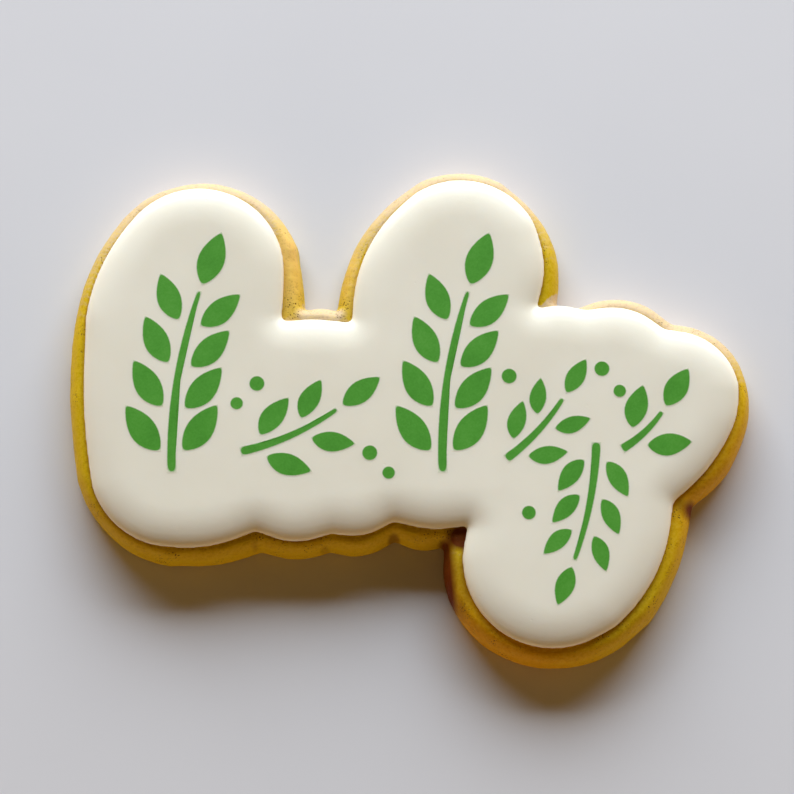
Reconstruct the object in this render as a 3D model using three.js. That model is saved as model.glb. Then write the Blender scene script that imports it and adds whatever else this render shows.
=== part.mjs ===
// An iced sugar cookie: a thick cut biscuit with scalloped lobes, a puffy layer of white icing that
// stops short of its edge, and green leaf sprays stencilled on the icing.
// Millimetres, +Z up. It lies on its flat underside, with the origin under the middle of its outline.
import * as THREE from "three";

// Driving sizes
const BISCUIT_THICK = 6.4;
const BISCUIT_WAIST = 2.3; // height of its widest line
const BISCUIT_SHOULDER = 2.0; // how far the side curves in above that line
const BISCUIT_FOOT = 0.5; // the rounding of its bottom edge
const BISCUIT_WAVE = 0.12; // unevenness of the baked side
const ICING_THICK = 2.3;
const ICING_ROLL = 6.0; // width of the icing's rounded margin
const ICING_LIP = 0.4; // height of its widest line above the biscuit
const ICING_UNDERCUT = 0.3; // how far it draws in below that line
const STENCIL_THICK = 0.3;
const BRIDGE = 0.9; // bare icing between the stencil's openings

// How finely the outlines are drawn
const STEP = 0.3;
const MOST_TURN = THREE.MathUtils.degToRad(6.5);
const LONGEST_EDGE = 3.2;
const DOUGH_SOFTENING = 0.45; // how far baking rounds a notch
const ICING_SOFTENING = 0.9; // how far the wet icing rounds one
const NESTED_SLACK = 1.12; // circles that all but touch from inside count as touching

// The cutter's edge, anticlockwise from the first tall lobe, as the circles that it follows.
const CUTTER = [
  { lobe: "first crest", x: -33.7, y: 23.1, r: 16.75 },
  { lobe: "first flank", x: -23.4, y: 13.5, r: 30.85 },
  { lobe: "left side", x: 24.2, y: 6.9, r: 79.0 },
  { lobe: "left corner", x: -35.1, y: -4.4, r: 18.8 },
  { lobe: "left foot", x: -34.3, y: 1.9, r: 24.8 },
  { lobe: "near scallop 1", x: -18.2, y: -8.7, r: 13.0 },
  { lobe: "near scallop 2", x: -8.9, y: -12.1, r: 9.2 },
  { lobe: "near scallop 3", x: 2.2, y: -12.4, r: 7.9 },
  { lobe: "tail left", x: 21.1, y: -22.9, r: 15.9 },
  { lobe: "tail end", x: 22.8, y: -20.6, r: 18.75 },
  { lobe: "tail right", x: 12.1, y: -11.7, r: 33.0 },
  { lobe: "right low", x: 37.3, y: 1.3, r: 16.5 },
  { lobe: "right end", x: 39.8, y: 3.1, r: 14.9 },
  { lobe: "right high", x: 42.4, y: 4.2, r: 12.1 },
  { lobe: "right shoulder", x: 33.0, y: 8.35, r: 12.2 },
  { lobe: "right neck", x: 24.3, y: 10.2, r: 8.9 },
  { lobe: "second flank right", x: 6.0, y: 23.5, r: 18.3 },
  { lobe: "second crest", x: 8.1, y: 26.85, r: 14.7 },
  { lobe: "second flank left", x: 13.6, y: 17.6, r: 25.3 },
  { lobe: "saddle", x: -14.4, y: 13.1, r: 5.9 },
  { lobe: "first flank right", x: -46.1, y: 19.6, r: 29.2 },
];

// The line that the icing was piped along, in the same way.
const PIPED_LINE = [
  { lobe: "first crest", x: -34.0, y: 24.2, r: 13.9 },
  { lobe: "first flank", x: -21.4, y: 12.6, r: 31.0 },
  { lobe: "left side", x: 38.7, y: 7.0, r: 91.0 },
  { lobe: "left corner", x: -37.2, y: -6.6, r: 14.1 },
  { lobe: "left foot", x: -35.5, y: 1.5, r: 22.2 },
  { lobe: "near scallop 1", x: -18.2, y: -8.9, r: 10.8 },
  { lobe: "near scallop 2", x: -9.2, y: -9.4, r: 9.4 },
  { lobe: "near scallop 3", x: 4.1, y: -1.5, r: 16.2 },
  { lobe: "tail end", x: 22.5, y: -22.4, r: 14.3 },
  { lobe: "tail right", x: 15.8, y: -13.4, r: 25.9 },
  { lobe: "right low", x: 26.2, y: 9.6, r: 27.6 },
  { lobe: "right end", x: 39.4, y: 3.8, r: 13.2 },
  { lobe: "right high", x: 42.1, y: 3.9, r: 10.7 },
  { lobe: "right shoulder", x: 32.4, y: 7.4, r: 11.1 },
  { lobe: "right neck", x: 24.0, y: 9.6, r: 9.2 },
  { lobe: "second flank right", x: 5.7, y: 24.9, r: 16.0 },
  { lobe: "second crest", x: 8.2, y: 26.0, r: 13.5 },
  { lobe: "second flank left", x: 14.6, y: 17.6, r: 23.9 },
  { lobe: "saddle", x: -15.5, y: -8.5, r: 25.0 },
  { lobe: "first flank right", x: -80.1, y: 24.2, r: 60.0 },
];

// The angles, seen from two circles that follow one another, at which the outline passes from one
// to the other: their outer crossing, or, where one lies inside the other, where they come nearest.
function meeting(a, b) {
  const along = new THREE.Vector2(b.x - a.x, b.y - a.y);
  const apart = along.length();
  along.normalize();
  const nested = apart < Math.abs(a.r - b.r) * NESTED_SLACK;
  if (nested) {
    const angle = along.multiplyScalar(Math.sign(a.r - b.r)).angle();
    return [angle, angle];
  }
  const reach = (apart ** 2 + a.r ** 2 - b.r ** 2) / (2 * apart);
  const aside = Math.sqrt(Math.max(0, a.r ** 2 - reach ** 2));
  const x = a.x + along.x * reach + along.y * aside;
  const y = a.y + along.y * reach - along.x * aside;
  return [Math.atan2(y - a.y, x - a.x), Math.atan2(y - b.y, x - b.x)];
}

// Points along a chain of circles, anticlockwise, each at the middle of its step.
function traced(lobes) {
  const points = [];
  lobes.forEach((lobe, i) => {
    const before = lobes.at(i - 1);
    const after = lobes[(i + 1) % lobes.length];
    const from = meeting(before, lobe)[1];
    const turn = THREE.MathUtils.euclideanModulo(meeting(lobe, after)[0] - from, 2 * Math.PI);
    const steps = Math.max(1, Math.round((turn * lobe.r) / STEP));
    for (let k = 0; k < steps; k++) {
      const angle = from + (turn * (k + 0.5)) / steps;
      points.push(new THREE.Vector2(lobe.x + lobe.r * Math.cos(angle), lobe.y + lobe.r * Math.sin(angle)));
    }
  });
  return points;
}

// The same closed line with its corners rounded, each point averaged with its neighbours.
function softened(points, reach) {
  const passes = Math.round(2 * (reach / STEP) ** 2);
  let line = points;
  for (let pass = 0; pass < passes; pass++) {
    line = line.map((p, i) =>
      line.at(i - 1).clone().add(line[(i + 1) % line.length]).multiplyScalar(0.25).addScaledVector(p, 0.5),
    );
  }
  return line;
}

// The direction out of the outline at each point.
function outward(line) {
  return line.map((_, i) => {
    const along = line[(i + 1) % line.length].clone().sub(line.at(i - 1)).normalize();
    return new THREE.Vector2(along.y, -along.x);
  });
}

// An outline ready for stacking: few points where it runs straight, many where it turns.
function outlineOf(lobes, softening) {
  const line = softened(traced(lobes), softening);
  const normals = outward(line);
  const kept = [];
  let last = 0;
  let length = 0;
  line.forEach((point, i) => {
    length += point.distanceTo(line.at(i - 1));
    const turn = Math.acos(THREE.MathUtils.clamp(normals[i].dot(normals[last]), -1, 1));
    if (i > 0 && turn < MOST_TURN && length < LONGEST_EDGE) return;
    kept.push({ point, normal: normals[i] });
    last = i;
    length = 0;
  });
  return kept;
}

// One level of a stack: the outline drawn in by an inset that may change along it.
function ring(outline, z, inset) {
  return outline.map(({ point, normal }, i) => {
    const drawn = typeof inset === "function" ? inset(i) : inset;
    return new THREE.Vector3(point.x - normal.x * drawn, point.y - normal.y * drawn, z);
  });
}

// A closed geometry from levels of equal length, lowest first, capped flat at both ends.
function stacked(rings) {
  const count = rings[0].length;
  const corners = rings.flat();
  const faces = [];
  for (let level = 0; level + 1 < rings.length; level++) {
    for (let i = 0; i < count; i++) {
      const a = level * count + i;
      const b = level * count + ((i + 1) % count);
      faces.push([a, b, b + count], [a, b + count, a + count]);
    }
  }
  const capOf = (level) =>
    THREE.ShapeUtils.triangulateShape(level.map((p) => new THREE.Vector2(p.x, p.y)), []);
  const top = count * (rings.length - 1);
  capOf(rings[0]).forEach(([a, b, c]) => faces.push([c, b, a]));
  capOf(rings.at(-1)).forEach(([a, b, c]) => faces.push([top + a, top + b, top + c]));
  const geometry = new THREE.BufferGeometry().setFromPoints(corners);
  geometry.setIndex(faces.flat());
  geometry.computeVertexNormals();
  return geometry;
}

// The biscuit's side: a small round foot, a belly low down and a wide soft shoulder.
function biscuitGeometry(outline) {
  const wave = (z) => (i) =>
    BISCUIT_WAVE * (1 + 0.5 * Math.sin(i * 0.9 + z * 1.7) + 0.5 * Math.sin(i * 0.31 - z * 2.3));
  const rings = [
    ring(outline, 0, BISCUIT_FOOT + BISCUIT_WAVE),
    ring(outline, BISCUIT_FOOT * 0.3, (i) => BISCUIT_FOOT * 0.3 + wave(0)(i)),
    ring(outline, BISCUIT_FOOT, wave(BISCUIT_FOOT)),
    ring(outline, BISCUIT_WAIST, wave(BISCUIT_WAIST)),
  ];
  for (const degrees of [22, 42, 60, 76, 90]) {
    const angle = THREE.MathUtils.degToRad(degrees);
    const z = BISCUIT_WAIST + (BISCUIT_THICK - BISCUIT_WAIST) * Math.sin(angle);
    const inset = BISCUIT_SHOULDER * (1 - Math.cos(angle));
    rings.push(ring(outline, z, (i) => inset + wave(z)(i)));
  }
  return stacked(rings);
}

// The icing's margin: an undercut, a lip, then a swell like a quarter of an ellipse up to the level.
function icingGeometry(outline) {
  const rings = [
    ring(outline, BISCUIT_THICK, ICING_UNDERCUT),
    ring(outline, BISCUIT_THICK + ICING_LIP * 0.45, ICING_UNDERCUT * 0.2),
  ];
  for (const degrees of [0, 10, 20, 32, 45, 60, 75, 90]) {
    const angle = THREE.MathUtils.degToRad(degrees);
    const z = BISCUIT_THICK + ICING_LIP + (ICING_THICK - ICING_LIP) * Math.sin(angle);
    rings.push(ring(outline, z, ICING_ROLL * (1 - Math.cos(angle))));
  }
  return stacked(rings);
}

// The stencilled sprays. Each has a stem that starts at its root and bends evenly, pairs of leaves
// beside it and one leaf at its tip. Angles in degrees, from +X.
const SPRAYS = [
  { name: "first", root: [-37.8, -8.8], heading: 93, bend: -22, length: 30, pairs: 4, leaf: [9.4, 4.5] },
  { name: "second", root: [5.2, -8.8], heading: 93, bend: -22, length: 30, pairs: 4, leaf: [9.4, 4.5] },
  { name: "tail", root: [29.6, -3.8], heading: -92, bend: -18, length: 19.5, pairs: 3, leaf: [6.8, 3.2] },
  { name: "middle", root: [-27.0, -5.4], heading: 12, bend: 24, length: 17, pairs: 2, leaf: [7.8, 3.7] },
  { name: "near_right", root: [15.2, -6.6], heading: 36, bend: 22, length: 13.5, pairs: 2, leaf: [6.6, 3.1] },
  { name: "far_right", root: [33.6, -5.0], heading: 30, bend: 26, length: 9, pairs: 1, leaf: [7.4, 3.8] },
];
const STEM_WIDTH = 1.6;
const STEM_TAPER = 0.45; // how much of its width a stem loses
const LEAF_SPREAD = 42; // the angle between a leaf and its stem
const LEAF_CURVE = 0.8; // how far a leaf's tip curves back towards the stem
const LEAF_SHRINK = 0.14; // how much smaller the leaves grow along a stem
const LEAF_STEPS = 12;
const STEM_STEPS = 12;
// The dots of the stencil: middle and radius
const BERRIES = [
  [-24.4, 5.6, 1.3],
  [-27.6, 2.4, 1.1],
  [-6.4, -5.6, 1.3],
  [-3.4, -8.8, 1.1],
  [15.8, 6.8, 1.3],
  [30.6, 8.0, 1.3],
  [33.4, 4.4, 1.1],
  [18.8, -15.2, 1.2],
];
const BERRY_SIDES = 16;

// Where a stem is after a share of its length, and which way it heads there.
function alongStem({ root, heading, bend, length }, share) {
  const turned = THREE.MathUtils.degToRad(bend * share);
  const toward = THREE.MathUtils.degToRad(heading) + turned / 2;
  const chord = share > 0 ? (length * share * Math.sin(turned / 2)) / (turned / 2) : 0;
  const point = new THREE.Vector2(root[0] + chord * Math.cos(toward), root[1] + chord * Math.sin(toward));
  return { point, angle: toward + turned / 2 };
}

// A point beside another one, to the left of an angle.
function beside(point, angle, distance) {
  return new THREE.Vector2(point.x - Math.sin(angle) * distance, point.y + Math.cos(angle) * distance);
}

// A leaf's outline from its base: pointed at both ends, fullest past the middle, curving to one side.
function leafShape(base, angle, [length, width], curve) {
  const along = new THREE.Vector2(Math.cos(angle), Math.sin(angle));
  const half = (share) => (width / 2) * Math.sin(Math.PI * share ** 0.9) ** 0.85;
  const at = (share, side) => {
    const onAxis = base.clone().addScaledVector(along, length * share);
    return beside(onAxis, angle, curve * share ** 2 + side * half(share));
  };
  const points = [];
  for (let k = 0; k <= LEAF_STEPS; k++) points.push(at(k / LEAF_STEPS, -1));
  for (let k = LEAF_STEPS - 1; k > 0; k--) points.push(at(k / LEAF_STEPS, 1));
  return new THREE.Shape(points);
}

// A stem's outline: square at the root, tapering towards the tip.
function stemShape(spray) {
  const side = (share, sign) => {
    const { point, angle } = alongStem(spray, share);
    return beside(point, angle, (sign * STEM_WIDTH * (1 - STEM_TAPER * share)) / 2);
  };
  const points = [];
  for (let k = 0; k <= STEM_STEPS; k++) points.push(side(k / STEM_STEPS, -1));
  for (let k = STEM_STEPS; k >= 0; k--) points.push(side(k / STEM_STEPS, 1));
  return new THREE.Shape(points);
}

// All the outlines of one spray, each with its name.
function sprayShapes(spray) {
  const { name, pairs, leaf } = spray;
  const shapes = [[`stem_${name}`, stemShape(spray)]];
  for (let pair = 0; pair < pairs; pair++) {
    const { point, angle } = alongStem(spray, (pair + 0.5) / (pairs + 0.3));
    const size = 1 - (LEAF_SHRINK * pair) / pairs;
    for (const [side, sign] of [["left", 1], ["right", -1]]) {
      const base = beside(point, angle, sign * (STEM_WIDTH / 2 + BRIDGE));
      const heading = angle + sign * THREE.MathUtils.degToRad(LEAF_SPREAD);
      const shape = leafShape(base, heading, [leaf[0] * size, leaf[1] * size], -LEAF_CURVE * sign);
      shapes.push([`leaf_${name}_${side}_${pair + 1}`, shape]);
    }
  }
  const { point, angle } = alongStem(spray, 1 + BRIDGE / spray.length);
  shapes.push([`leaf_${name}_tip`, leafShape(point, angle, leaf, 0)]);
  return shapes;
}

// A berry's outline with its name.
function berryShape([x, y, radius], i) {
  const points = [];
  for (let k = 0; k < BERRY_SIDES; k++) {
    const angle = (2 * Math.PI * k) / BERRY_SIDES;
    points.push(new THREE.Vector2(x + radius * Math.cos(angle), y + radius * Math.sin(angle)));
  }
  return [`berry_${i + 1}`, new THREE.Shape(points)];
}

const biscuitMaterial = new THREE.MeshStandardMaterial({ color: "#c98f2e", roughness: 0.85, metalness: 0 });
const icingMaterial = new THREE.MeshStandardMaterial({ color: "#f1ece0", roughness: 0.4, metalness: 0 });
const stencilMaterial = new THREE.MeshStandardMaterial({ color: "#4f9a32", roughness: 0.6, metalness: 0 });

function named(name, geometry, material) {
  const mesh = new THREE.Mesh(geometry, material);
  mesh.name = name;
  return mesh;
}

const cutterOutline = outlineOf(CUTTER, DOUGH_SOFTENING);
const pipedOutline = outlineOf(PIPED_LINE, ICING_SOFTENING);
const cookie = new THREE.Group();
cookie.add(named("biscuit", biscuitGeometry(cutterOutline), biscuitMaterial));
cookie.add(named("icing", icingGeometry(pipedOutline), icingMaterial));
for (const [name, shape] of [...SPRAYS.flatMap(sprayShapes), ...BERRIES.map(berryShape)]) {
  const geometry = new THREE.ExtrudeGeometry(shape, { depth: STENCIL_THICK, bevelEnabled: false });
  geometry.translate(0, 0, BISCUIT_THICK + ICING_THICK);
  cookie.add(named(name, geometry, stencilMaterial));
}

// The origin goes under the middle of the outline.
const middle = new THREE.Box3().setFromObject(cookie).getCenter(new THREE.Vector3());
cookie.position.set(-middle.x, -middle.y, 0);

const plaque = new THREE.Group();
plaque.add(cookie);
export default plaque;
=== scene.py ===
# %% [markdown]
# # An iced sugar cookie with stencilled leaf sprays
# The cookie is a flat piece of baked dough with a lobed outline. Royal icing is flooded over it to
# just short of the edge, and green food colour is sprayed on the dry icing through a stencil.
# The solids of all three come from the imported CAD model, so every size and place is settled
# already. This lesson gives those solids their baked, poured and sprayed surfaces, and then lights
# them. First the model is loaded, with a helper that reads a solid's box.

# %% Load the fixed frame
import math

import bmesh
import bpy
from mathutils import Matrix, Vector, kdtree


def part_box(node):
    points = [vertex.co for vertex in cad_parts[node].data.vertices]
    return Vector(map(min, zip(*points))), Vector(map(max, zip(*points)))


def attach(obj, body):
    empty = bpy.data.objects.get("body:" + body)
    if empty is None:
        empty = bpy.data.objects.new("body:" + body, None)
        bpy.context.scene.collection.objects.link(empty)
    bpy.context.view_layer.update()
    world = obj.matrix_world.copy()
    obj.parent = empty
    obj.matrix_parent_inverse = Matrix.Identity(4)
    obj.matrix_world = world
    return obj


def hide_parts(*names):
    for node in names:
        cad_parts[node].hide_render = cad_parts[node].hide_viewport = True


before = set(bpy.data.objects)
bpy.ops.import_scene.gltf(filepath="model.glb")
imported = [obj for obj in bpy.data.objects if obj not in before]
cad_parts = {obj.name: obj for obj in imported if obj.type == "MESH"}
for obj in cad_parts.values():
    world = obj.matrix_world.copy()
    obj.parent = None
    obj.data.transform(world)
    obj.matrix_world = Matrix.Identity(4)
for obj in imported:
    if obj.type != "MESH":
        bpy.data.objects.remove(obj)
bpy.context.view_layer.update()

MM = 0.001

# %% [markdown]
# ## A dense, even copy of a solid
# A CAD solid has long thin triangles and flat facets, which show in a highlight. It could be
# smoothed by shading alone, but then there is nothing for a bump or a dent to move. So each piece
# starts as a copy of its solid: its loose triangles are merged and joined to quads, the sharp
# edges are creased, subdivision rounds the facets, and a voxel remesh spreads small even quads
# over it all. The flat faces that nobody sees need none of those, and become one face.

# %% Helpers to copy, subdivide and remesh
def only(*chosen):
    """Selects just these objects and makes the first one active."""
    bpy.ops.object.select_all(action="DESELECT")
    for piece in chosen:
        piece.select_set(True)
    bpy.context.view_layer.objects.active = chosen[0]


def merged_copy(name, *nodes):
    """One new object from copies of these CAD nodes, with their loose triangles merged."""
    copies = []
    for node in nodes:
        copy = bpy.data.objects.new(name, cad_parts[node].data.copy())
        copy.data.materials.clear()
        bpy.context.collection.objects.link(copy)
        copies.append(copy)
    only(*copies)
    if len(copies) > 1:
        bpy.ops.object.join()
    piece = bpy.context.object
    piece.name = name
    bpy.ops.object.mode_set(mode="EDIT")
    bpy.ops.mesh.select_all(action="SELECT")
    bpy.ops.mesh.remove_doubles(threshold=0.002 * MM)
    bpy.ops.mesh.customdata_custom_splitnormals_clear()
    bpy.ops.object.mode_set(mode="OBJECT")
    return piece


def add_modifier(piece, kind, **settings):
    """Adds a modifier, sets it and applies it at once."""
    only(piece)
    modifier = piece.modifiers.new(kind.title(), kind)
    for key, value in settings.items():
        setattr(modifier, key, value)
    bpy.ops.object.modifier_apply(modifier=modifier.name)


def dense_copy(name, node, voxel, crease_from, smoothings):
    """A copy of the node with its facets rounded off, and small even quads all over."""
    piece = merged_copy(name, node)
    bpy.ops.object.mode_set(mode="EDIT")
    bpy.ops.mesh.select_all(action="SELECT")
    bpy.ops.mesh.tris_convert_to_quads(face_threshold=0.7, shape_threshold=3.1)
    bpy.ops.mesh.select_all(action="DESELECT")
    bpy.ops.mesh.edges_select_sharp(sharpness=math.radians(crease_from))
    bpy.ops.transform.edge_crease(value=0.8)
    bpy.ops.object.mode_set(mode="OBJECT")
    add_modifier(piece, "SUBSURF", levels=2, render_levels=2)
    add_modifier(piece, "REMESH", mode="VOXEL", voxel_size=voxel)
    add_modifier(piece, "SMOOTH", factor=0.5, iterations=smoothings)
    return piece


def pick_faces(piece, picked):
    """Enters edit mode with just the faces picked by their centre and normal selected."""
    bpy.context.scene.tool_settings.mesh_select_mode = (False, False, True)
    for face in piece.data.polygons:
        face.select = picked(face.center, face.normal)
    bpy.ops.object.mode_set(mode="EDIT")


def one_face(piece, picked):
    """Replaces the flat faces picked by their centre and normal by one face over the same hole."""
    only(piece)
    before = len(piece.data.polygons)
    pick_faces(piece, picked)
    bpy.ops.mesh.delete(type="FACE")
    bpy.ops.mesh.select_mode(type="EDGE")
    bpy.ops.mesh.select_non_manifold()
    bpy.ops.mesh.fill_holes(sides=0)
    bpy.ops.object.mode_set(mode="OBJECT")
    print(piece.name, "faces", before, "->", len(piece.data.polygons))


# %% [markdown]
# ## The icing's body
# Thick royal icing is piped round the edge and thinner icing is flooded inside it. It dries with a
# round shoulder and a crisp foot, and its level top is never quite flat. A sculpted mesh could
# show that, but the swells are slow and have no direction, so a soft clouds texture that only ever
# sinks the surface does it better, and keeps the piece inside the solid's box.

# %% Make the icing
icing = dense_copy("royal_icing", "icing", 0.3 * MM, 35, 8)
icing_low, icing_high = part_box("icing")
one_face(icing, lambda at, normal: normal.z < -0.98 and at.z < icing_low.z + 0.1 * MM)


def clouds(name, size, depth=0, basis="BLENDER_ORIGINAL"):
    """A clouds texture whose lumps are about this size."""
    texture = bpy.data.textures.new(name, "CLOUDS")
    texture.noise_scale = size
    texture.noise_depth = depth
    texture.noise_basis = basis
    return texture


swells = clouds("slow swells", 17 * MM)
SWELL = 0.16 * MM


def weigh(piece, group, weight_of):
    """A vertex group whose weights come from a function of each vertex's place."""
    made = piece.vertex_groups.new(name=group)
    for vertex in piece.data.vertices:
        made.add([vertex.index], weight_of(vertex.co), "REPLACE")
    return group


def swell(piece):
    """Sinks a piece's upper side by the icing's slow swells, and leaves its foot where it is."""
    foot, top = icing_low.z + 0.5 * MM, icing_high.z - 0.3 * MM
    group = weigh(piece, "above the foot", lambda at: max(0.0, min(1.0, (at.z - foot) / (top - foot))))
    add_modifier(piece, "DISPLACE", texture=swells, texture_coords="LOCAL", direction="Z",
                 mid_level=1.0, strength=SWELL, vertex_group=group)


swell(icing)
only(icing)
bpy.ops.object.shade_smooth()
print("icing", len(icing.data.vertices), "vertices, top at mm",
      round(max(v.co.z for v in icing.data.vertices) / MM, 2))

# %% [markdown]
# ## The biscuit's body
# A cut biscuit bakes with a soft shoulder, a slightly bellied side and an open, grainy crust, and
# only a narrow rim of it shows beyond the icing. Smoothing has shrunk that rim a little, so it is
# swelled back first. Then two clouds textures move it: one for the slow bulges of the dough and
# one for its grain. Under the icing and at the foot all of that fades out, so that the icing still
# lies on the dough and the dough on the floor.

# %% Make the biscuit
biscuit = dense_copy("baked_biscuit", "biscuit", 0.3 * MM, 40, 6)
biscuit_low, biscuit_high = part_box("biscuit")

covered = kdtree.KDTree(len(icing.data.vertices))
for vertex in icing.data.vertices:
    covered.insert((vertex.co.x, vertex.co.y, 0), vertex.index)
covered.balance()


def under_icing(at):
    """How far a place is from the icing's footprint, seen from above."""
    return covered.find((at.x, at.y, 0))[2]


one_face(biscuit, lambda at, normal: abs(normal.z) > 0.98 and (
    at.z < 0.1 * MM or (at.z > biscuit_high.z - 0.1 * MM and under_icing(at) < 0.4 * MM
                        and min(under_icing(at + Vector((dx, dy, 0)) * MM)
                                for dx, dy in ((2, 0), (-2, 0), (0, 2), (0, -2))) < 0.4 * MM)))


def bare_crust(at):
    """1 where the crust shows, 0 under the icing and at the foot."""
    beyond = max(0.0, min(1.0, (under_icing(at) - 0.2 * MM) / (0.7 * MM)))
    above = max(0.0, min(1.0, (at.z - 0.15 * MM) / (0.8 * MM)))
    side = 1.0 if at.z < biscuit_high.z - 0.5 * MM else beyond
    return side * above


group = weigh(biscuit, "bare crust", bare_crust)
add_modifier(biscuit, "DISPLACE", direction="NORMAL", mid_level=0.0, strength=0.07 * MM,
             vertex_group=group)
for label, size, strength in (("bulges", 7 * MM, 0.24 * MM), ("crumb", 1.1 * MM, 0.10 * MM)):
    add_modifier(biscuit, "DISPLACE", texture=clouds(label, size, 1), texture_coords="LOCAL",
                 direction="NORMAL", mid_level=0.55, strength=strength, vertex_group=group)
only(biscuit)
bpy.ops.object.shade_smooth()
print("biscuit", len(biscuit.data.vertices), "vertices")

# %% [markdown]
# ## The sprayed leaves, stems and berries
# Food colour sprayed through a stencil lies flat on the icing and has a slightly soft, speckled
# edge. It could be painted into the icing's own colour, but the icing's quads are too coarse for
# so clean an outline. So each spray is a thin film of its own: the top faces of its solids are
# inset to get a narrow fringe, rounded by subdivision with their points creased, laid on the
# icing's swells, and closed from below.

# %% Make the sprays
FRINGE = 0.18 * MM
FILM = 0.022 * MM
SPRAYS = ("first", "second", "tail", "middle", "near_right", "far_right")


def add_values(piece, name, value_of):
    """A value on each vertex, kept with the mesh under this name."""
    kept = piece.data.attributes.new(name, "FLOAT", "POINT")
    kept.data.foreach_set("value", [value_of(vertex) for vertex in piece.data.vertices])


def mark_outline(piece):
    """Marks the outline for fading, and creases what rounding has to keep: points, inner edges."""
    mesh = bmesh.new()
    mesh.from_mesh(piece.data)
    rim = {v.index for v in mesh.verts if v.is_boundary}
    points = set()
    for v in mesh.verts:
        ways = [(e.other_vert(v).co - v.co).normalized() for e in v.link_edges if e.is_boundary]
        if len(ways) == 2 and ways[0].dot(ways[1]) > -0.8:
            points.add(v.index)
    inner = [float(not any(v.index in rim for v in e.verts)) for e in mesh.edges]
    mesh.free()
    add_values(piece, "fringe", lambda v: float(v.index in rim))
    add_values(piece, "crease_vert", lambda v: float(v.index in points))
    piece.data.attributes.new("crease_edge", "FLOAT", "EDGE").data.foreach_set("value", inner)


def film(name, nodes):
    """A thin closed film that follows these nodes' outlines and lies on the icing."""
    piece = merged_copy(name, *nodes)
    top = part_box(nodes[0])[1].z
    pick_faces(piece, lambda at, normal: normal.z < 0.9 or at.z < top - 0.05 * MM)
    bpy.ops.mesh.delete(type="FACE")
    bpy.ops.mesh.select_all(action="SELECT")
    bpy.ops.mesh.dissolve_limited(angle_limit=math.radians(1))
    bpy.ops.mesh.select_all(action="SELECT")
    bpy.ops.mesh.inset(thickness=FRINGE, use_boundary=True, use_even_offset=True)
    bpy.ops.object.mode_set(mode="OBJECT")
    mark_outline(piece)
    add_modifier(piece, "SUBSURF", levels=2, render_levels=2, boundary_smooth="ALL")
    add_modifier(piece, "SHRINKWRAP", target=icing, wrap_method="PROJECT", use_project_z=True,
                 use_negative_direction=True, use_positive_direction=True, offset=FILM)
    add_modifier(piece, "SOLIDIFY", thickness=2 * FILM, offset=-1)
    return piece


films = []
for spray in SPRAYS:
    nodes = [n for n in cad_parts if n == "stem_" + spray or n.startswith("leaf_" + spray + "_")]
    films.append((film(spray + "_spray", nodes), nodes))
berry_nodes = [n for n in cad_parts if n.startswith("berry_")]
films.append((film("berries", berry_nodes), berry_nodes))
for piece, nodes in films:
    only(piece)
    bpy.ops.object.shade_smooth_by_angle(angle=math.radians(50))
    print(piece.name, len(nodes), "solids,", len(piece.data.polygons), "faces")

# %% [markdown]
# ## Node helper
# All the finishes are procedural: noise and Voronoi patterns on Object coordinates, which stay
# fixed to the piece because each piece's place is in its mesh. One short helper adds a node, sets
# it and links it, so that each material below reads as a list of steps.

# %% Helpers for materials
def start_material(name):
    """A new node material: returns it with a function that adds and links nodes."""
    material = bpy.data.materials.new(name)
    material.use_nodes = True
    tree = material.node_tree
    shader = tree.nodes["Principled BSDF"]

    def add(kind, inputs=None, **settings):
        made = tree.nodes.new("ShaderNode" + kind)
        for key, value in settings.items():
            setattr(made, key, value)
        fill(made, inputs or {})
        return made

    def fill(made, inputs):
        for key, value in inputs.items():
            if isinstance(value, bpy.types.NodeSocket):
                tree.links.new(value, made.inputs[key])
            else:
                made.inputs[key].default_value = value

    place = add("TexCoord").outputs["Object"]
    return material, shader, place, add, fill


def ramp(add, source, *stops):
    """A colour ramp with these (position, colour) stops."""
    made = add("ValToRGB", {"Fac": source})
    band = made.color_ramp
    while len(band.elements) < len(stops):
        band.elements.new(0.5)
    for element, (position, colour) in zip(band.elements, stops):
        element.position = position
        element.color = (*colour, 1)
    return made.outputs["Color"]


def noise(add, place, size, detail=2.0, roughness=0.5):
    """Noise whose lumps are about this size."""
    made = add("TexNoise", {"Vector": place, "Scale": 1 / size, "Detail": detail,
                            "Roughness": roughness})
    return made.outputs["Fac"]


def reach(add, value, low, high, to_low=0.0, to_high=1.0):
    """Stretches a value from one range to another and clamps it."""
    made = add("MapRange", {"Value": value, "From Min": low, "From Max": high,
                            "To Min": to_low, "To Max": to_high})
    return made.outputs["Result"]


def finish_with(piece, material):
    """Gives a piece its material and slot, and makes it ride on the cookie."""
    piece.data.materials.clear()
    piece.data.materials.append(material)
    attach(piece, "root")


# %% [markdown]
# ## Where the crust is painted lit or shaded
# The crust carries painted light and shade. The shoulders and rims that face the softbox are painted
# paler, for the highlight they catch, and right beside the icing's edge the crust is painted darker,
# for the shade under the icing's lip. Both follow how the surface faces and how near the icing is,
# which a pattern in space can't know, so they are measured here and kept on the vertices.

# %% Values on the crust's vertices
TOWARD_SOFTBOX = Vector((0, 0.94, 0.34)).normalized()
LIP_SHADE_WIDTH = 0.55 * MM
SHOULDER_HEIGHT = 5.2 * MM


def painted_highlight(vertex):
    """How much painted highlight a place gets: the shoulders facing the softbox most, and the rim behind
    them.
    """
    nearest = covered.find((vertex.co.x, vertex.co.y, 0))[0]
    outward = (vertex.co - nearest).to_2d()
    rim = (outward.y / max(outward.length, 0.3 * MM) - 0.15) / 0.6
    shoulder = (vertex.normal.dot(TOWARD_SOFTBOX) - 0.40) / 0.40
    return max(0.0, min(1.0, max(rim, shoulder)))


def lip_shade_amount(vertex):
    """How much painted shade the icing's lip casts on a place: most right beside its edge, and never low
    on the side.
    """
    if vertex.co.z < SHOULDER_HEIGHT:
        return 0.0
    return max(0.0, 1.0 - under_icing(vertex.co) / LIP_SHADE_WIDTH)


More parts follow.
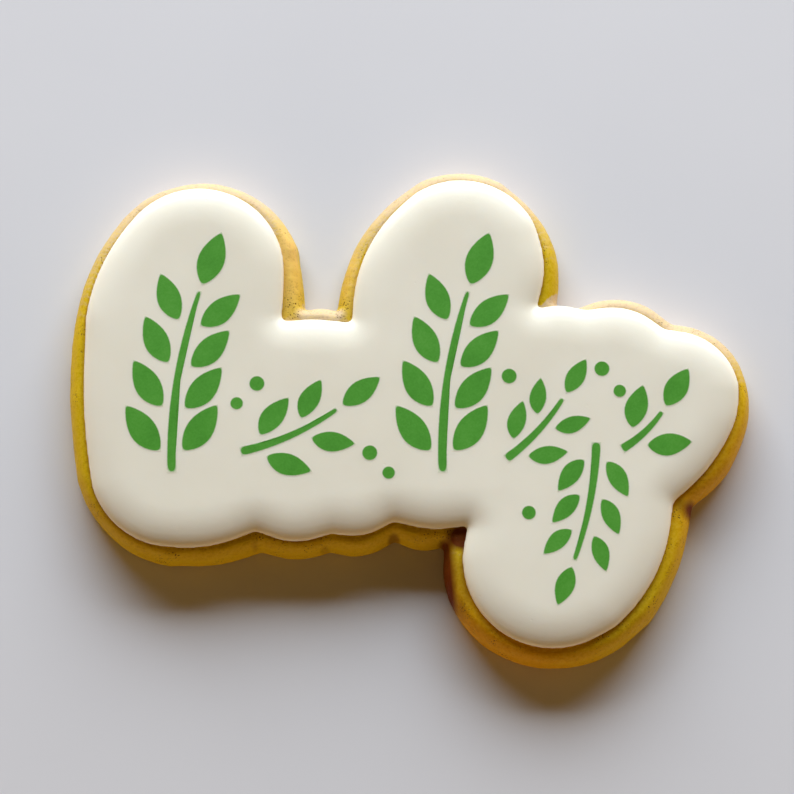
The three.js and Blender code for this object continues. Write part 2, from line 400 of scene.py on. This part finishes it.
add_values(biscuit, "painted_highlight", painted_highlight)
add_values(biscuit, "painted_lip_shade", lip_shade_amount)
print("pale vertices:", sum(v.value > 0.5 for v in biscuit.data.attributes["painted_highlight"].data))

# %% [markdown]
# ## The dough's colours
# The dough is a golden yellow, darker towards the foot and varied by slow noise. Light and shade
# are painted on it in spots: the right end and the tail darker and redder for the shade there, and
# the walls beside the notch and the saddle paler for the light they catch. Each such spot is an
# egg-shaped neighbourhood in space that says how far its colour goes.

# %% Mix the dough's colours
crust, shader, place, add, fill = start_material("golden baked dough")
height = add("SeparateXYZ", {"Vector": place}).outputs["Z"]
uneven = noise(add, place, 8 * MM, 3)
grain = noise(add, place, 0.5 * MM, 5, 0.7)
risen = reach(add, height, 0.2 * MM, 5.6 * MM)
bake = add("Math", {0: risen, 1: uneven}, operation="ADD").outputs[0]
baked = ramp(add, reach(add, bake, 0.35, 1.6),
             (0.0, (0.42, 0.255, 0.001)), (0.35, (0.66, 0.475, 0.001)),
             (0.7, (0.62, 0.420, 0.001)), (1.0, (0.64, 0.430, 0.006)))

# Painted shade: the brown that the crust right beside the icing's edge is darkened towards, for the
# shade under the icing's lip.
LIP_SHADE = (0.26, 0.095, 0.001)
# Painted shade: the redder brown that the right end and the tail are tinted towards, for the shade
# there.
SHADE_RED = (0.67, 0.325, 0.001)
# Painted highlight: the pale cream that the shoulders facing the softbox are mixed towards.
HIGHLIGHT_CREAM = (0.60, 0.450, 0.315)
# Painted light: the pale gold that the walls beside the notch are mixed towards.
LIT_WALL_GOLD = (0.86, 0.530, 0.150)
SHADE_RED_SPOTS = (((46.0, -9.0, 3.0), (22.0, 18.0, 14.0), 0.60),
               ((15.5, -35.0, 3.0), (15.0, 13.0, 16.0), 0.85))


def mixed(first, second, amount):
    """Two colours mixed by an amount. A colour may be a socket or plain numbers."""
    first, second = (c if isinstance(c, bpy.types.NodeSocket) else (*c, 1) for c in (first, second))
    return add("Mix", {0: amount, 6: first, 7: second}, data_type="RGBA").outputs[2]


def near(centre, radii):
    """1 close to a place, fading to 0 over an egg-shaped neighbourhood of these radii, in mm."""
    scale = [1 / (r * MM) for r in radii]
    centred = add("Mapping", {"Vector": place, "Scale": scale, "Location":
                              [-c * MM * k for c, k in zip(centre, scale)]}).outputs["Vector"]
    far_off = add("VectorMath", {0: centred}, operation="LENGTH").outputs["Value"]
    return reach(add, far_off, 0.45, 1.1, 1.0, 0.0)


def strongest(first, second):
    """The larger of two amounts."""
    return add("Math", {0: first, 1: second}, operation="MAXIMUM").outputs[0]


def spotted(colour, tint, spots, full=1.0):
    """The colour tinted in spots, each given by its centre, radii and largest share."""
    for centre, radii, most in spots:
        colour = mixed(colour, tint, reach(add, near(centre, radii), 0.0, full, 0.0, most))
    return colour


lip_shaded = add("Attribute", attribute_name="painted_lip_shade").outputs["Fac"]
# Painted highlight: the shoulders facing the softbox, the saddle and a bend of the left lobe's wall are
# mixed towards pale cream, for the light they catch; the notch corners are kept out of it.
facing_light = add("Attribute", attribute_name="painted_highlight").outputs["Fac"]
corners = strongest(near((-18.6, 17.1, 5.2), (2.6, 2.4, 4.0)),
                    near((-10.0, 17.0, 5.2), (2.4, 2.4, 4.0)))
lit = reach(add, add("Math", {0: facing_light, 1: corners}, operation="SUBTRACT").outputs[0], 0.0, 1.0)
saddle = reach(add, near((-14.3, 16.3, 6.2), (4.1, 1.9, 2.6)), 0.0, 0.4)
bend = reach(add, near((-19.2, 29.8, 6.0), (2.8, 6.5, 3.6)), 0.0, 1.0, 0.0, 0.5)
pale = strongest(strongest(lit, saddle), bend)
# Painted light: the walls beside the notch are made paler, for the light they catch.
walls = strongest(reach(add, near((-19.2, 24.5, 6.0), (2.8, 11.5, 3.6)), 0.0, 1.0, 0.0, 0.70),
                  reach(add, near((-9.6, 22.5, 6.2), (2.0, 8.0, 3.4)), 0.0, 1.0, 0.0, 0.45))
# Painted shade: darker right beside the icing's lip.
with_painted_shade = mixed(baked, LIP_SHADE, reach(add, lip_shaded, 0.1, 1.0, 0.0, 0.75))
# Painted shade: darker and redder at the right end and the tail.
with_painted_shade = spotted(with_painted_shade, SHADE_RED, SHADE_RED_SPOTS)
with_painted_light = mixed(mixed(with_painted_shade, HIGHLIGHT_CREAM, reach(add, pale, 0.0, 1.0, 0.0, 0.9)), LIT_WALL_GOLD, walls)
print("dough colours from", len(crust.node_tree.nodes), "nodes")

# %% [markdown]
# ## The crust's grain, pores and painted shadows
# The crust is open: a fine sandy grain and small dark pores that gather in patches and by the
# notch. Its tight inner corners and the wall beside the tail are painted nearly brown, for the
# shadow that falls there. Modelled pores would need far smaller quads, so a fine noise and Voronoi
# cells colour them and give the bump.

# %% Finish the crust
SANDY = (0.72, 0.50, 0.06)
RUBBED = (0.34, 0.160, 0.001)
# Painted shadow: the near brown that the inner corners and the wall beside the tail, in the body's
# shadow, are darkened towards.
SHADOW_BROWN = (0.11, 0.007, 0.001)
PORE = (0.11, 0.038, 0.001)
SHADOW_SPOTS = (((6.2, -25.2, 2.8), (2.0, 9.5, 4.6), 0.94),
                 ((8.2, -19.9, 6.2), (2.4, 2.2, 3.4), 0.94),
                 ((43.8, -15.2, 3.0), (2.2, 2.2, 4.0), 0.94),
                 ((-2.5, -20.2, 3.6), (1.1, 1.5, 3.4), 0.60),
                 ((-13.5, -21.4, 3.2), (0.9, 1.2, 2.6), 0.30),
                 ((7.9, -27.8, 5.0), (2.4, 6.0, 4.0), 0.35),
                 ((-24.7, -20.6, 3.4), (0.9, 1.2, 3.0), 0.40))
PORE_SIZE = 0.42 * MM

sandy = mixed(with_painted_light, SANDY, reach(add, grain, 0.48, 0.72, 0.0, 0.45))
rubbed = mixed(sandy, RUBBED, reach(add, grain, 0.28, 0.48, 0.50, 0.0))
# Painted shadow in the inner corners and on the wall beside the tail.
with_painted_shadow = spotted(rubbed, SHADOW_BROWN, SHADOW_SPOTS, full=0.7)
cells = add("TexVoronoi", {"Vector": place, "Scale": 1 / PORE_SIZE, "Randomness": 1.0})
by_notch = strongest(near((-18.4, 17.4, 5.4), (2.6, 3.8, 4.0)),
                     near((-10.6, 17.2, 5.4), (2.2, 3.4, 4.0)))
gathered = strongest(reach(add, noise(add, place, 3.5 * MM, 2), 0.53, 0.64), by_notch)
dot = reach(add, cells.outputs["Distance"], 0.14, 0.32, 1.0, 0.0)
pore = add("Math", {0: dot, 1: gathered}, operation="MULTIPLY").outputs[0]
bumps = reach(add, grain, 0.2, 0.8, 0.0, 0.5)
relief = add("Math", {0: bumps, 1: pore}, operation="SUBTRACT").outputs[0]
bumped = add("Bump", {"Height": relief, "Strength": 0.7, "Distance": 0.12 * MM}).outputs["Normal"]
fill(shader, {"Base Color": mixed(with_painted_shadow, PORE, pore), "Normal": bumped,
              "Roughness": reach(add, grain, 0.2, 0.8, 0.42, 0.62), "Specular IOR Level": 0.12})
finish_with(biscuit, crust)
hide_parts("biscuit")
print("crust material", len(crust.node_tree.nodes), "nodes")

# %% [markdown]
# ## The set icing
# Dry royal icing is ivory, with a soft satin gloss, a faint orange peel and a few pinholes where
# air bubbles burst. The colour hardly varies, so most of the work is in the roughness and in very
# shallow bumps. A little light scatters below its surface, which softens its shadows.

# %% Icing material
PINHOLE_APART = 4.5 * MM

sugar, shader, place, add, fill = start_material("set royal icing")
mottle = noise(add, place, 14 * MM, 3)
skin = noise(add, place, 1.3 * MM, 3)
ivory = ramp(add, mottle, (0.25, (0.815, 0.765, 0.655)), (0.75, (0.86, 0.815, 0.715)))
pins = add("TexVoronoi", {"Vector": place, "Scale": 1 / PINHOLE_APART, "Randomness": 1.0})
pinhole = reach(add, pins.outputs["Distance"], 0.02, 0.045, 1.0, 0.0)
peel = reach(add, skin, 0.2, 0.8, 0.0, 0.35)
sunk = add("Math", {0: peel, 1: pinhole}, operation="SUBTRACT").outputs[0]
bumped = add("Bump", {"Height": sunk, "Strength": 0.35, "Distance": 0.05 * MM}).outputs["Normal"]
fill(shader, {"Base Color": ivory, "Roughness": reach(add, skin, 0.25, 0.75, 0.30, 0.40),
              "Normal": bumped, "Subsurface Weight": 0.2, "Subsurface Radius": (1.0, 0.8, 0.6),
              "Subsurface Scale": 2 * MM})
finish_with(icing, sugar)
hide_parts("icing")
print("icing material", len(sugar.node_tree.nodes), "nodes")

# %% [markdown]
# ## The sprayed green
# Airbrushed colour lands as tiny drops, so the green is finely mottled, and along the stencil's
# edge it thins and lets the icing through. The fringe marked on each film's vertices says how near
# the edge a place is, and noise breaks that fade up into specks.

# %% Green material
green, shader, place, add, fill = start_material("airbrushed leaf green")
drops = noise(add, place, 0.35 * MM, 3, 0.6)
patchy = noise(add, place, 5 * MM, 2)
tone = add("Math", {0: drops, 1: patchy}, operation="ADD").outputs[0]
leafy = ramp(add, reach(add, tone, 0.6, 1.4), (0.0, (0.048, 0.250, 0.014)), (0.5, (0.064, 0.300, 0.021)),
             (1.0, (0.088, 0.335, 0.034)))
edge = add("Attribute", attribute_name="fringe").outputs["Fac"]
specks = reach(add, drops, 0.3, 0.7, 0.85, 1.15)
broken = add("Math", {0: edge, 1: specks}, operation="MULTIPLY").outputs[0]
thinned = reach(add, broken, 0.12, 1.0)
sprayed = add("Mix", {0: thinned, 6: leafy, 7: (0.80, 0.76, 0.64, 1)}, data_type="RGBA").outputs[2]
fill(shader, {"Base Color": sprayed, "Roughness": reach(add, drops, 0.2, 0.8, 0.42, 0.55)})
for piece, nodes in films:
    finish_with(piece, green)
    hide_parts(*nodes)
print("green on", len(films), "pieces")

# %% [markdown]
# ## Floor, light and camera
# The cookie lies on a plain pale board. One broad cool softbox stands low behind it, which makes
# the far shoulder of the icing glow and lays a soft shadow towards the viewer, and a warm, dim
# room fills the shadows. The camera looks down from 79.5 degrees, from far away and through a long
# lens, so the near side just shows.

# %% Set the stage
bpy.ops.mesh.primitive_plane_add(size=3, location=(0, 0, 0))
floor = bpy.context.object
floor.name = "pale_board"
board, shader, place, add, fill = start_material("pale board")
tint = ramp(add, noise(add, place, 60 * MM, 3),
            (0.3, (0.690, 0.682, 0.733)), (0.7, (0.710, 0.702, 0.753)))
fill(shader, {"Base Color": tint, "Roughness": 0.75})
floor.data.materials.append(board)

world = bpy.data.worlds.new("warm dim room")
bpy.context.scene.world = world
world.use_nodes = True
sky = world.node_tree
direction = sky.nodes.new("ShaderNodeTexCoord")
upward = sky.nodes.new("ShaderNodeSeparateXYZ")
sky.links.new(direction.outputs["Generated"], upward.inputs["Vector"])
level = sky.nodes.new("ShaderNodeValToRGB")
sky.links.new(upward.outputs["Z"], level.inputs["Fac"])
sky.links.new(level.outputs["Color"], sky.nodes["Background"].inputs["Color"])
level.color_ramp.interpolation = "EASE"
level.color_ramp.elements[0].color = (1.52, 0.93, 0.34, 1)
level.color_ramp.elements[1].color = (0.03, 0.015, 0.002, 1)
level.color_ramp.elements[1].position = 0.60

softbox = bpy.data.lights.new("softbox", "AREA")
softbox.shape = "RECTANGLE"
softbox.size = 2.20
softbox.size_y = 0.86
softbox.energy = 62.0
softbox.color = (0.89, 1.0, 1.07)
lamp = bpy.data.objects.new("softbox", softbox)
bpy.context.collection.objects.link(lamp)
away, azimuth, elevation = 1.60, math.radians(1), math.radians(24)
lamp.location = (away * math.cos(elevation) * math.sin(azimuth),
                 away * math.cos(elevation) * math.cos(azimuth), away * math.sin(elevation))
lamp.rotation_euler = (-lamp.location).to_track_quat("-Z", "Y").to_euler()

eye = Vector((-2.010, -99.330, 557.32)) * MM
target = Vector((-2.010, 2.722, 6.699)) * MM
camera = bpy.data.objects.new("camera", bpy.data.cameras.new("camera"))
bpy.context.collection.objects.link(camera)
camera.location = eye
camera.rotation_euler = (target - eye).to_track_quat("-Z", "Y").to_euler()
camera.data.lens = 158.9
camera.data.sensor_width = 36
camera.data.clip_start = 0.01
bpy.context.scene.camera = camera
bpy.context.scene.view_settings.view_transform = "Standard"
bpy.context.scene.view_settings.look = "None"
